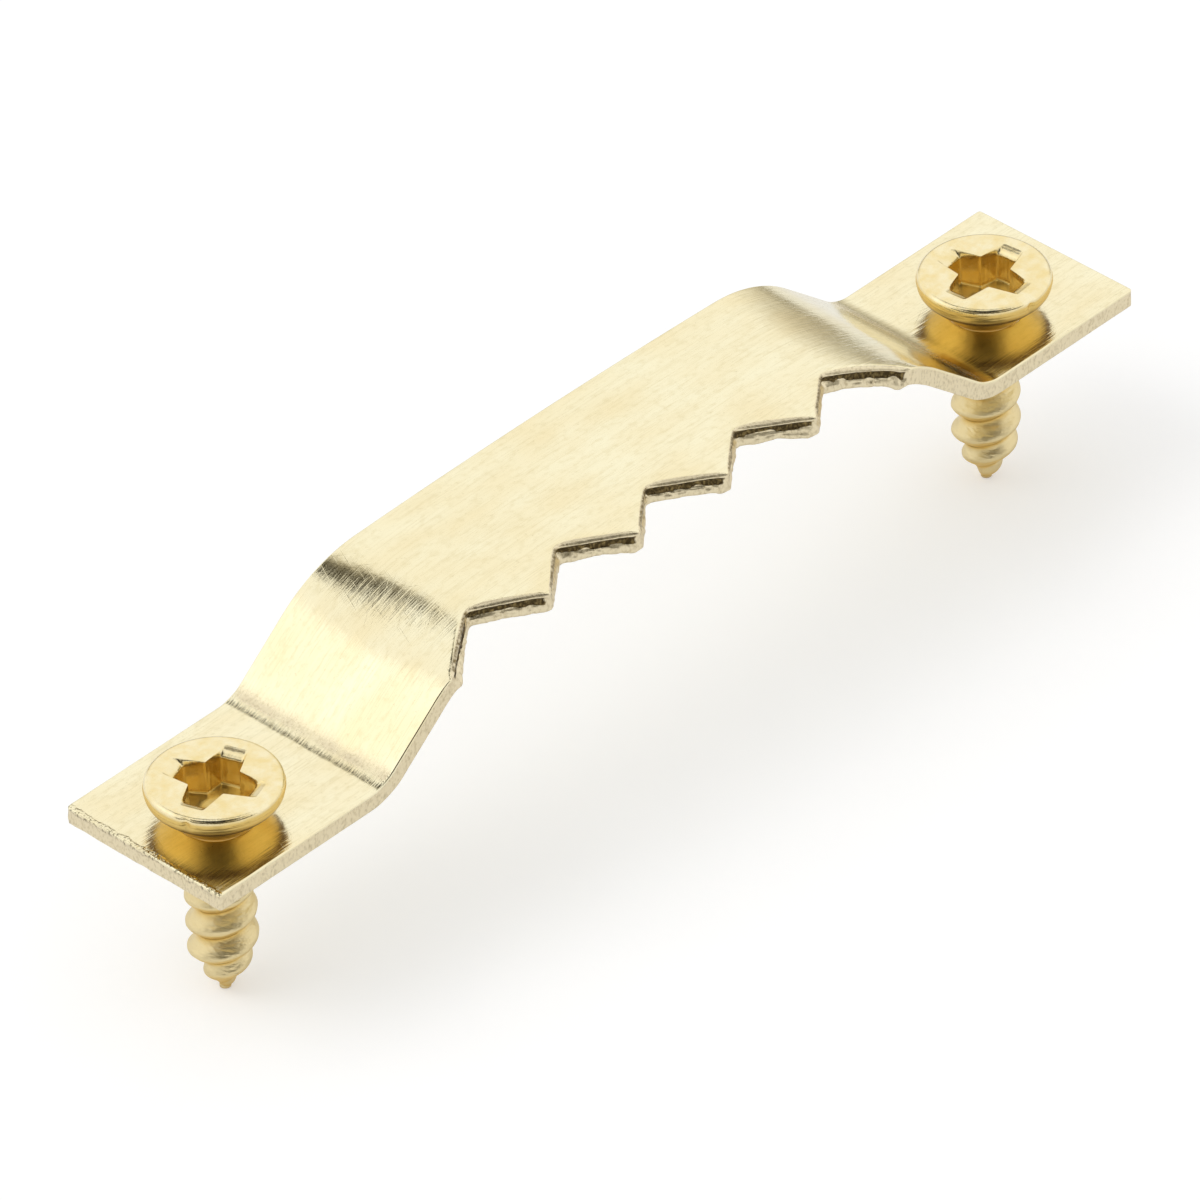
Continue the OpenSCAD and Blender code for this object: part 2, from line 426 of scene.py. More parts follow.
@dataclass(frozen=True)
class TumbledBrassPlate:
    """Brass plating on a small cold-headed screw that was tumbled bright in a barrel.

    The eye gets a golden metal with tiny knocks all over, pale on open surfaces. Painted shade makes it deeper
    yellow where the head, the recess and the thread shelter it, and dark brown in the crease under the rim and
    in the deepest hollows of the thread. The grain of the real plating is too fine to show, and is drawn 0.05 mm
    wide.
    """

    pale: str = "#fbeec4"
    warm: str = "#f5e0a4"
    # Painted shade: deeper yellow where sheltered, and dark brown in the crease under the rim and in the
    # thread's deepest hollows
    shade_yellow: str = "#e8c878"
    crease: str = "#5c4020"
    thread: str = "#ecdcae"
    grain: Pattern = ((0.05, 0.05, 0.05), 3.0)
    knocks: Pattern = ((0.3, 0.3, 0.3), 2.0)
    tones: Pattern = ((0.5, 0.5, 0.5), 2.0)
    rolls: Pattern = ((0.4, 0.4, 0.12), 2.0)
    thread_top: float = -0.35
    roughness: float = 0.17
    thread_rough: float = 0.19
    shelter_rough: float = 0.13
    grain_height: float = 0.0025
    knock_height: float = 0.009
    roll_height: float = 0.045

    def material(self) -> bpy.types.Material:
        """Builds the material from even noise of three sizes, and drawn-out noise on the rolled thread.

        Returns:
            The node-based material.
        """
        made = FinishTree("tumbled_brass_plate")
        grain, knocks, tones = (made.noise(*pattern) for pattern in (self.grain, self.knocks, self.tones))
        warm = made.add("MapRange", (tones, 0.35, 0.7))[0]
        low = made.add("MapRange", (made.axes["Z"], self.thread_top * MM, (self.thread_top - 0.1) * MM))[0]
        # Painted shade: the mark turns the colour deeper yellow where sheltered, and dark brown where it passes
        # 1
        crease = made.add("MapRange", (made.mark, 1.0, 2.0))[0]
        colour = made.coats(self.pale, [(warm, self.warm), (low, self.thread), (made.mark, self.shade_yellow),
                                        (crease, self.crease)])
        rough = made.add("MapRange", (grain, 0.3, 0.7, self.roughness - 0.03, self.roughness + 0.08))[0]
        rough = made.add("Math", (low, self.thread_rough, rough), operation="MULTIPLY_ADD")[0]
        rough = made.add("Math", (made.mark, self.shelter_rough, rough), operation="MULTIPLY_ADD")[0]
        rolls = made.add("Math", (low, made.noise(*self.rolls)), operation="MULTIPLY")[0]
        normal = made.bumps([(knocks, self.knock_height), (rolls, self.roll_height),
                             (grain, self.grain_height)])
        return made.metal(colour, rough, normal)


# The strip


@dataclass
class BendLine:
    """The line that the middle of the sheet follows from the left end to the right, seen from the side."""

    length: float = 45.0
    sheet: float = 0.65
    left_tab: float = 7.2
    right_tab: float = 6.9
    crown_gap: float = 3.55
    ramp_angle: float = 39.2
    crown_angle: float = 1.9
    foot_bend: float = 1.5
    shoulder_bend: float = 5.3
    step: float = 0.005
    softness: float = 0.12
    foot_dwell: float = 0.6
    curl: float = 0.03
    curl_reach: float = 1.8
    along: np.ndarray = field(init=False)
    table: np.ndarray = field(init=False)

    def __post_init__(self) -> None:
        """Works out the line once.

        The slope rises evenly over each bend, except that a foot bend is flatter in its middle than at its
        ends. It is rounded a little where bends start, and is then added up: x is the running sum of its
        cosine and z of its sine. Each shoulder also curls the strip across its width, the opposite way to
        the bend, by a bell-shaped amount.
        """
        half = self.sheet / 2
        ramp, crown = math.radians(self.ramp_angle), math.radians(self.crown_angle)
        foot_r, shoulder_r = self.foot_bend + half, self.shoulder_bend + half
        foot_rise, foot_run = foot_r * (1 - math.cos(ramp)), foot_r * math.sin(ramp)
        shoulder_rise = shoulder_r * (math.cos(crown) - math.cos(ramp))
        shoulder_run = shoulder_r * (math.sin(ramp) - math.sin(crown))
        open_half = (self.length - self.left_tab - self.right_tab) / 2 - foot_run - shoulder_run
        bow = math.tan(crown / 2)
        ramp_rise = (self.crown_gap - foot_rise - shoulder_rise - open_half * bow) / (1 - bow / math.tan(ramp))
        crown_r = (open_half - ramp_rise / math.tan(ramp)) / math.sin(crown)
        bend, ease, straight = foot_r * ramp, shoulder_r * (ramp - crown), ramp_rise / math.sin(ramp)
        lengths = [self.left_tab, bend, straight, ease, 2 * crown * crown_r, ease, straight, bend,
                   self.right_tab]
        slopes = [0, 0, ramp, ramp, crown, -crown, -ramp, -ramp, 0, 0]
        knots = np.concatenate([[0], np.cumsum(lengths)])
        along = np.linspace(0, knots[-1], int(knots[-1] / self.step) + 1)
        step = along[1]
        slope = np.interp(along, knots, slopes)
        for foot in (knots[1], knots[7]):
            share = np.clip((along - foot) / bend, 0, 1)
            slope += ramp * self.foot_dwell * np.sin(2 * math.pi * share) / (2 * math.pi)
        slope = smoothed(slope, self.softness / step)
        x = np.concatenate([[0], np.cumsum((np.cos(slope[1:]) + np.cos(slope[:-1])) / 2 * step)])
        z = np.concatenate([[0], np.cumsum((np.sin(slope[1:]) + np.sin(slope[:-1])) / 2 * step)])
        x = x * self.length / x[-1] - self.length / 2
        z = half + z - z[-1] * np.interp(along, [knots[4], knots[5]], [0, 1])
        middles = ((knots[3] + knots[4]) / 2, (knots[5] + knots[6]) / 2)
        curl = self.curl * sum(np.exp(-(((along - m) / self.curl_reach) ** 2)) for m in middles)
        self.along, self.table = along, np.stack([x, z, slope, curl])

    def x_at(self, p: np.ndarray) -> np.ndarray:
        """Place along the strip of a distance along the sheet."""
        return np.interp(p, self.along, self.table[0])

    def place(self, p: np.ndarray, y: np.ndarray, q: np.ndarray, half_width: float) -> np.ndarray:
        """Carries points of the flat sheet along the line.

        A point lies q to the side of the sheet's middle, along its normal. The curl adds half the curl times
        the difference of the squares of y and the half width, which leaves the long edges where they are.

        Args:
            p: distance along the sheet from its left end.
            y: distance across it.
            q: height over the middle of the sheet.
            half_width: half the strip's width.

        Returns:
            Points in the shared frame, in millimetres.
        """
        x, z, slope, curl = (np.interp(p, self.along, row) for row in self.table)
        q = q + 0.5 * curl * (y**2 - half_width**2)
        return np.stack([x - q * np.sin(slope), y, z + q * np.cos(slope)], axis=-1)


@dataclass(frozen=True)
class NotchRow:
    """The row of V notches in the front edge."""

    count: int = 5
    pitch: float = 4.36
    shift: float = -0.32
    depth: float = 1.53
    radius: float = 0.25
    land: float = 0.05
    lean: float = 0.2
    reach: float = 0.3

    def _flank(self, run: float) -> float:
        """Angle of the flank that starts run to the side of the bottom circle and touches it."""
        centre = self.depth - self.radius
        return math.atan2(centre, run) + math.asin(self.radius / math.hypot(run, centre))

    def depth_at(self, x: np.ndarray) -> np.ndarray:
        """How far the notches cut into the strip.

        A notch is the least of two straight flanks and, between their feet, the circle at its bottom.

        Args:
            x: places along the strip.

        Returns:
            The depth at each place, 0 outside the notches.
        """
        depth = np.zeros_like(x)
        mouth, centre, r = (self.pitch - self.land) / 2, self.depth - self.radius, self.radius
        for i in range(self.count):
            u = x - self.shift - (i - (self.count - 1) / 2) * self.pitch
            left = mouth - self.lean + (self.reach if i == 0 else 0)
            right = mouth + self.lean + (self.reach if i == self.count - 1 else 0)
            a, b = self._flank(left), self._flank(right)
            flanks = np.minimum((u + left) * math.tan(a), (right - u) * math.tan(b))
            bottom = centre + np.sqrt(np.maximum(r * r - u * u, 0))
            inside = (u > -r * math.sin(a)) & (u < r * math.sin(b))
            depth = np.maximum(depth, np.where(inside, bottom, flanks))
        return depth


# Points of a sheared edge's profile on its rolled part and on its torn band
ROLL_STEPS, TORN_STEPS = 8, 6


@dataclass(frozen=True)
class ShearedEdge:
    """Profile of a sheared edge, from the top face to the bottom face.

    The punch first pulls the face down in a round, then cuts a bright band, then tears the rest, which is
    rough, and drags a lip and a burr out at the bottom.
    """

    roll_in: float
    roll_down: float
    cut_band: float
    torn_in: float
    torn_height: float
    lip_out: float
    burr_width: float
    burr_drop: float
    bottom_in: float

    def steps(self, half: float) -> np.ndarray:
        """Points of the profile.

        Args:
            half: half the sheet's thickness.

        Returns:
            Rows of inset, height over the sheet's middle, share torn, and share of the burr.
        """
        turn = np.linspace(0, math.pi / 2, ROLL_STEPS)
        roll = np.stack([self.roll_in * (1 - np.sin(turn)),
                         half - self.roll_down * (1 - np.cos(turn))], axis=1)
        t = np.linspace(0, 1, TORN_STEPS)
        top = half - self.roll_down - self.cut_band
        torn = np.stack([self.torn_in * np.sin(math.pi * (0.12 + 0.76 * t)), top - self.torn_height * t], axis=1)
        t = np.linspace(0.2, 1, 4)
        low = top - self.torn_height
        lip = np.stack([-self.lip_out * np.sqrt(t), low + (0.02 - half - low) * t], axis=1)
        turn = np.linspace(0.3, math.pi, 5)
        burr = np.stack([self.burr_width * (1 - np.cos(turn)) / 2 - self.lip_out,
                         -half - self.burr_drop * np.sin(turn)], axis=1)
        places = np.concatenate([roll, torn, lip, burr, [[self.bottom_in, -half]]])
        marks = np.zeros((len(places), 2))
        marks[len(roll) : len(roll) + len(torn), 0] = 1
        marks[-len(burr) - len(lip) - 1 : -1, 1] = 1
        return np.concatenate([places, marks], axis=1)


PLAIN_EDGE = ShearedEdge(0.05, 0.05, 0.05, 0.008, 0.3, 0.0, 0.03, 0.01, 0.07)
NOTCH_EDGE = ShearedEdge(0.19, 0.15, 0.02, 0.05, 0.25, 0.07, 0.09, 0.12, 0.12)
HOLE_EDGE = ShearedEdge(0.07, 0.06, 0.1, 0.006, 0.25, 0.0, 0.03, 0.02, 0.06)


@dataclass(frozen=True)
class EdgeWear:
    """How a sheared edge strays from its profile, in millimetres, and the marks of its parts.

    A grain is the length of a noise along the edge. A value whose name starts with notch is what a notch
    adds. The marks of the torn band and of the rolled edge change from left flanks to right ones, and the
    mark of the rolled edge is painted shade with rougher metal.
    """

    fine_grain: float = 0.12
    slow_grain: float = 0.55
    chip_grain: float = 0.2
    sag_grain: float = 0.8
    ragged_grain: float = 0.28
    rough: float = 0.004
    notch_rough: float = 0.016
    notch_drag: float = 0.045
    chips: float = 0.03
    burr_wave: float = 0.06
    tip_burr: float = 0.05
    tip_size: float = 0.18
    torn_wave: float = 0.05
    sag: float = 0.3
    outward: float = 1.2
    worn_mark: float = 0.12
    # Painted shade, with rougher metal, on the rolled edge of the notches' left and right flanks
    rolled_shade_left: float = 0.62
    rolled_shade_right: float = 0.28
    torn_left: float = 0.6
    first_flank_end: float = -9.3
    first_flank_more: float = 0.3


@dataclass
class HangerStrip:
    """The bent strip: a flat plate with notches and two holes, carried along the line of its bends."""

    line: BendLine = field(default_factory=BendLine)
    notches: NotchRow = field(default_factory=NotchRow)
    wear: EdgeWear = field(default_factory=EdgeWear)
    width: float = 7.15
    corner: float = 0.12
    hole_radius: float = 1.35
    left_hole_in: float = 2.95
    right_hole_in: float = 4.22
    hole_offset: float = 0.48
    tab_block: float = 6.2
    tip_droop: float = 0.07
    tip_reach: float = 0.35
    face_bow: float = 0.15
    # Painted shade in the hollow of each foot bend: where it peaks across the bend, how steeply and how long it
    # fades, and its mark
    corner_soft: float = 0.22
    bend_shade_peak: float = 0.68
    bend_shade_steep: float = 0.16
    bend_shade_long: float = 0.42
    bend_shade_mark: float = 0.12
    columns: int = 760
    tab_columns: int = 72
    rows: int = 22
    hole_rings: int = 14
    plan: np.ndarray = field(init=False)
    heights: np.ndarray = field(init=False)
    marks: np.ndarray = field(init=False)
    starts: list[int] = field(init=False)

    def __post_init__(self) -> None:
        """Draws the plate's border once, with the profile of its sheared edge."""
        border, normals, self.starts = self._border()
        self.plan, self.heights, self.marks = self._sheared(border, normals)

    @property
    def total(self) -> float:
        """Length of the flat plate."""
        return float(self.line.along[-1])

    @property
    def half(self) -> float:
        """Half the sheet's thickness."""
        return self.line.sheet / 2

    @property
    def shares(self) -> np.ndarray:
        """Rows across a face, from 0 at the front to 1 at the back, with one close to each border."""
        return np.concatenate([[0], np.linspace(0.012, 0.988, self.rows - 1), [1]])

    def place(self, p: np.ndarray, y: np.ndarray, q: np.ndarray) -> np.ndarray:
        """Bends points of the flat plate, and pulls the tips between the notches down a little.

        Args:
            p: distance along the plate.
            y: distance across it.
            q: height over the sheet's middle.

        Returns:
            Points in millimetres.
        """
        p, y, q = np.broadcast_arrays(p, y, q)
        row = self.notches
        tip = row.shift + row.lean + row.pitch * (np.arange(row.count + 1) - row.count / 2)
        along = self.line.x_at(p)[..., None] - tip
        near = np.exp(-(along**2 + ((y + self.width / 2) ** 2)[..., None]) / self.tip_reach**2).sum(axis=-1)
        return self.line.place(p, y, q - self.tip_droop * near, self.width / 2)

    def _rounded(self, points: np.ndarray) -> tuple[np.ndarray, np.ndarray]:
        """Moves points of a sharp rectangle on to the plate's border with its four rounded corners.

        Every point of the border lies one corner radius away from a smaller rectangle, along its normal.

        Args:
            points: points on the sharp rectangle.

        Returns:
            Points on the border and their outward normals.
        """
        total, half, r = self.total, self.width / 2, self.corner
        inner = np.stack([np.clip(points[:, 0], r, total - r),
                          np.clip(points[:, 1], r - half, half - r)], axis=1)
        normals = (points - inner) / np.linalg.norm(points - inner, axis=1)[:, None]
        return inner + normals * r, normals

    def _border(self) -> tuple[np.ndarray, np.ndarray, list[int]]:
        """The plate's border without notches, once round, starting at the left end of the notched part.

        Returns:
            Border points, their outward normals, and the number of the first point of each of its 8 sides:
            front, right tab's front, right end, right tab's back, back, left tab's back, left end,
            left tab's front.
        """
        total, half = self.total, self.width / 2
        left, right = self.tab_block, total - self.tab_block
        across = (self.shares - 0.5) * self.width
        middle = np.linspace(left, right, self.columns + 1)
        outer = np.linspace(right, total, self.tab_columns + 1)
        inner = np.linspace(0, left, self.tab_columns + 1)

        def side(p: np.ndarray | float, y: np.ndarray | float) -> np.ndarray:
            """One side without its last point, which is the next side's first."""
            return np.stack(np.broadcast_arrays(p, y), axis=-1)[:-1].astype(float)

        sides = [
            side(middle, -half), side(outer, -half), side(total, across), side(outer[::-1], half),
            side(middle[::-1], half), side(inner[::-1], half), side(0.0, across[::-1]), side(inner, -half),
        ]
        starts = np.cumsum([0] + [len(s) for s in sides]).tolist()
        points, normals = self._rounded(np.concatenate(sides))
        return points, normals, starts

    @staticmethod
    def _offset(edge: np.ndarray, step: float, inset: float) -> np.ndarray:
        """Edge of all circles with their middles on the edge: the row of samples moved sideways by inset.

        Args:
            edge: the edge's y at equal steps.
            step: distance between the samples.
            inset: how far to move it, towards +y if positive.

        Returns:
            The moved edge's y at the same places.
        """
        reach, sign = int(abs(inset) / step), math.copysign(1, inset)
        padded = np.pad(sign * edge, reach, mode="edge")
        shifts = [
            padded[k : k + len(edge)] + math.sqrt(max(inset**2 - ((k - reach) * step) ** 2, 0))
            for k in range(2 * reach + 1)
        ]
        return sign * np.max(shifts, axis=0)

    def _sheared(self, border: np.ndarray, normals: np.ndarray) -> tuple[np.ndarray, np.ndarray, np.ndarray]:
        """Gives the border its notches and the profile of its edge.

        In a notch the profile is the notch's, elsewhere the plain one, with an even change between them. The
        torn band's depth and lower border and the burr vary with smooth noise along the edge.

        Args:
            border: border points without notches.
            normals: their outward normals.

        Returns:
            Plan points, heights and marks, each by profile step and place on the border.
        """
        wear, front = self.wear, slice(0, self.starts[1])
        step = border[1, 0] - border[0, 0]
        x = self.line.x_at(border[front, 0])
        depth = smoothed(self.notches.depth_at(x), 0.03 / step)
        right_flank = np.clip(0.5 - smoothed(np.gradient(depth, step), 0.05 / step), 0, 1)
        notch = np.zeros(len(border))
        notch[front] = smoothed(np.clip(depth / 0.12, 0, 1), 0.08 / step)
        run = np.concatenate([[0], np.cumsum(np.linalg.norm(np.diff(border, axis=0), axis=1))])
        plain, cut = PLAIN_EDGE.steps(self.half), NOTCH_EDGE.steps(self.half)
        level = np.arange(len(plain))[:, None]
        mixed = plain[:, None] + (cut - plain)[:, None] * notch[None, :, None]
        inset, height, torn, burr = np.moveaxis(mixed, 2, 0)
        grain = lattice_noise(run[None] / wear.fine_grain, level * 0.4, 3)
        slow = lattice_noise(run / wear.slow_grain, 0.5, 5)[None]
        rough = torn * (wear.rough + wear.notch_rough * notch) * grain
        drag = burr * (wear.rough + wear.notch_drag * notch) * (grain * 0.6 + slow)
        left_end = self._soft_range(len(border), self.starts[6], self.starts[7])
        chips = left_end * wear.chips * lattice_noise(run[None] / wear.chip_grain, level * 0.35, 29)
        change = rough - drag + np.where((level > 0) & (level < len(plain) - 1), chips, 0)
        tip = np.zeros(len(border))
        tip[front] = np.minimum(np.exp(-((depth / wear.tip_size) ** 2)) * notch[front] * 4, 1)
        height = height - burr * notch * (wear.burr_wave * slow + wear.tip_burr * tip)
        height = height + torn * notch * wear.torn_wave * slow * (level > len(plain) / 2)
        plan = border[None] - normals[None] * (inset + change)[..., None]
        sag = 1 + wear.sag * lattice_noise(run[front] / wear.sag_grain, 7.5, 47)
        lines = self._front_lines(depth, step, right_flank, notch[front], sag)
        plan[:, front, 1] = lines + change[:, front] * wear.outward
        return plan, height, self._marks(x, run, right_flank, notch, torn, burr)

    def _front_lines(self, depth: np.ndarray, step: float, right_flank: np.ndarray, notch: np.ndarray,
                     sag: np.ndarray) -> np.ndarray:
        """Line of each profile step along the front, seen from above.

        A line is the notched edge moved in by the step's inset. The face's own edge is also bowed a little on
        right flanks and rounded at the bottoms of the notches, and this fades out over the rolled part.

        Args:
            depth: depth of the notches at equal steps along the front.
            step: distance between these steps.
            right_flank: 1 on right flanks and 0 on left ones.
            notch: 1 in the notches and 0 elsewhere.
            sag: slow change of the inset along the front, near 1.

        Returns:
            The y of each profile step at each place.
        """
        edge = depth - self.width / 2
        bow = self.face_bow * right_flank * np.clip(depth / 0.9, 0, 1) * np.clip((1.5 - depth) / 0.35, 0, 1)
        low_end = np.clip((depth - 0.7) / 0.4, 0, 1)
        lines = []
        for plain_in, cut_in in zip(PLAIN_EDGE.steps(self.half)[:, 0], NOTCH_EDGE.steps(self.half)[:, 0]):
            moved = self._offset(edge, step, cut_in) if abs(cut_in) > step else edge + cut_in
            soft = smoothed(moved, self.corner_soft / step) - moved
            face_share = max(0.0, 1 - len(lines) / (ROLL_STEPS - 1))
            into = (moved - edge) * sag + (bow + soft * low_end) * face_share
            lines.append(edge + (plain_in + (into - plain_in) * notch))
        return np.stack(lines)

    def _marks(self, x: np.ndarray, run: np.ndarray, right_flank: np.ndarray, notch: np.ndarray,
               torn: np.ndarray, burr: np.ndarray) -> np.ndarray:
        """Marks of the sheared edge: a torn band with a ragged lower border, and painted shade with rougher
        metal on the notches' rolled edge.

        Args:
            x: places of the front's points along the strip.
            run: distance of each border point along the border.
            right_flank: 1 on right flanks and 0 on left ones, along the front.
            notch: 1 in the notches and 0 elsewhere, along the border.
            torn: share torn, by profile step and place.
            burr: share of the burr, by profile step and place.

        Returns:
            The mark at each profile step and place.
        """
        wear, front = self.wear, slice(0, len(x))
        dark, roll_rough_and_shade = np.ones(len(run)), np.zeros(len(run))
        first = x < wear.first_flank_end
        dark[front] = wear.torn_left + (1 - wear.torn_left) * right_flank + wear.first_flank_more * first
        # Painted shade on the rolled edge of the notches, darker on left flanks
        roll_rough_and_shade[front] = notch[front] * (wear.rolled_shade_left + (wear.rolled_shade_right - wear.rolled_shade_left) * right_flank)
        share = np.cumsum(torn > 0.5, axis=0) / TORN_STEPS
        limit = 1.15 + 0.45 * lattice_noise(run[None] / wear.ragged_grain, share * 0.7, 41)
        ragged = 1 - notch + notch * np.clip((limit - share) / 0.2, 0, 1)
        level = np.arange(len(torn))[:, None]
        rolled = np.where((level > 2) & (level < ROLL_STEPS), roll_rough_and_shade, 0)
        least = np.maximum(wear.worn_mark * ((torn > 0.5) | (burr > 0.5)), rolled)
        return np.clip(torn * ragged * notch * dark, least, 1)

    @staticmethod
    def _soft_range(count: int, first: int, last: int) -> np.ndarray:
        """1 from first to last and 0 elsewhere, with short soft ends."""
        number = np.arange(count)
        return smoothed(((number >= first) & (number < last)).astype(float), 1.0, closed=True)

    def _face(self, step: int) -> list[Patch]:
        """One broad face: the middle as a grid, and each tab as rings from its hole to its border.

        Args:
            step: the profile step that is the face's border, 0 for the top and -1 for the bottom.

        Returns:
            Three patches.
        """
        points, s, q = self.plan[step], self.starts, self.heights[step, 0]
        front, back = points[s[0] : s[1] + 1], points[s[4] : s[5] + 1][::-1]
        middle = front[None] + (back - front)[None] * self.shares[:, None, None]
        # Painted shade in the hollows of the foot bends, on the top face only
        mark = self._bend_shade(middle[..., 0], middle[..., 1]) if step == 0 else None
        patches = [Patch(self.place(middle[..., 0], middle[..., 1], q), mark)]
        inset = HOLE_EDGE.steps(self.half)[step, 0]
        for loop, hole in self._tab_loops(points):
            angle = self._hole_angles(loop, hole)
            rim = hole + (self.hole_radius + inset) * np.stack([np.cos(angle), np.sin(angle)], axis=1)
            out = np.append(np.linspace(0, 1, self.hole_rings) ** 1.3 * 0.985, 1.0)
            rings = rim[None] + (loop - rim)[None] * out[:, None, None]
            patches.append(Patch(self.place(rings[..., 0], rings[..., 1], q), closed=True))
        return patches

    def _bend_shade(self, p: np.ndarray, y: np.ndarray) -> np.ndarray:
        """Mark of painted shade in the hollow of each foot bend, which also makes the metal there rougher.

        It is a bell along the strip, steep towards the tab and long towards the ramp, times smooth noise.

        Args:
            p: distance along the plate.
            y: distance across it.

        Returns:
            The mark at each point.
        """
        line, near = self.line, np.zeros(p.shape)
        bend = math.radians(line.ramp_angle) * (line.foot_bend + self.half)
        for run in (p - line.left_tab, self.total - p - line.right_tab):
            share = run / bend - self.bend_shade_peak
            near += np.exp(-((share / np.where(share < 0, self.bend_shade_steep, self.bend_shade_long)) ** 2))
        return self.bend_shade_mark * near * (0.8 + 0.35 * lattice_noise(p / 0.5 + 40, y / 0.12 + 40, 53))

    def _tab_loops(self, points: np.ndarray) -> list[tuple[np.ndarray, np.ndarray]]:
        """Closed outline of each tab's face, up to the middle grid, and the middle of its hole.

        Args:
            points: border of the whole face.

        Returns:
            Loop and hole of the left tab and of the right tab.
        """
        s, share = self.starts, self.shares[:, None]
        left_seam = points[s[0]] + (points[s[5]] - points[s[0]]) * share
        right_seam = points[s[1]] + (points[s[4]] - points[s[1]]) * share
        left = np.concatenate([left_seam[:-1], points[s[5] :]])
        right = np.concatenate([right_seam[:0:-1], points[s[1] : s[4]]])
        return [
            (left, np.array([self.left_hole_in, -self.hole_offset])),
            (right, np.array([self.total - self.right_hole_in, -self.hole_offset])),
        ]

    @staticmethod
    def _hole_angles(loop: np.ndarray, hole: np.ndarray) -> np.ndarray:
        """Angles round a hole that lead to the loop's points, spread out a little more evenly.

        Args:
            loop: points of a closed outline round the hole.
            hole: the hole's middle.

        Returns:
            One angle for each point.
        """
        away = loop - hole
        seen = np.unwrap(np.arctan2(away[:, 1], away[:, 0]))
        turn = math.copysign(2 * math.pi, seen[-1] - seen[0])
        return 0.6 * seen + 0.4 * (seen[0] + turn * np.arange(len(loop)) / len(loop))

    def _edges(self) -> list[Patch]:
        """The border's sheared edge, and the wall of each hole.

        Returns:
            One closed patch for the border and one for each hole.
        """
        border = self.place(self.plan[..., 0], self.plan[..., 1], self.heights)
        patches = [Patch(border, self.marks, closed=True)]
        steps = HOLE_EDGE.steps(self.half)
        share = np.linspace(0, 1, len(steps))[:, None]
        for (top, hole), (bottom, _) in zip(self._tab_loops(self.plan[0]), self._tab_loops(self.plan[-1])):
            angle = self._hole_angles(top, hole) * (1 - share) + self._hole_angles(bottom, hole) * share
            radius = self.hole_radius + steps[:, :1]
            p, y = hole[0] + radius * np.cos(angle), hole[1] + radius * np.sin(angle)
            patches.append(Patch(self.place(p, y, steps[:, 1:2]), closed=True))
        return patches

    def build(self, material: bpy.types.Material) -> bpy.types.Object:
        """Builds the strip and puts it in the place of its CAD node.

        Args:
            material: its finish.

        Returns:
            The finished piece.
        """
        piece = mesh_from_patches("strip_plate", self._face(0) + self._face(-1) + self._edges(), material)
        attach(piece, "strip")
        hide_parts("hanger_strip")
        return piece


# The screws


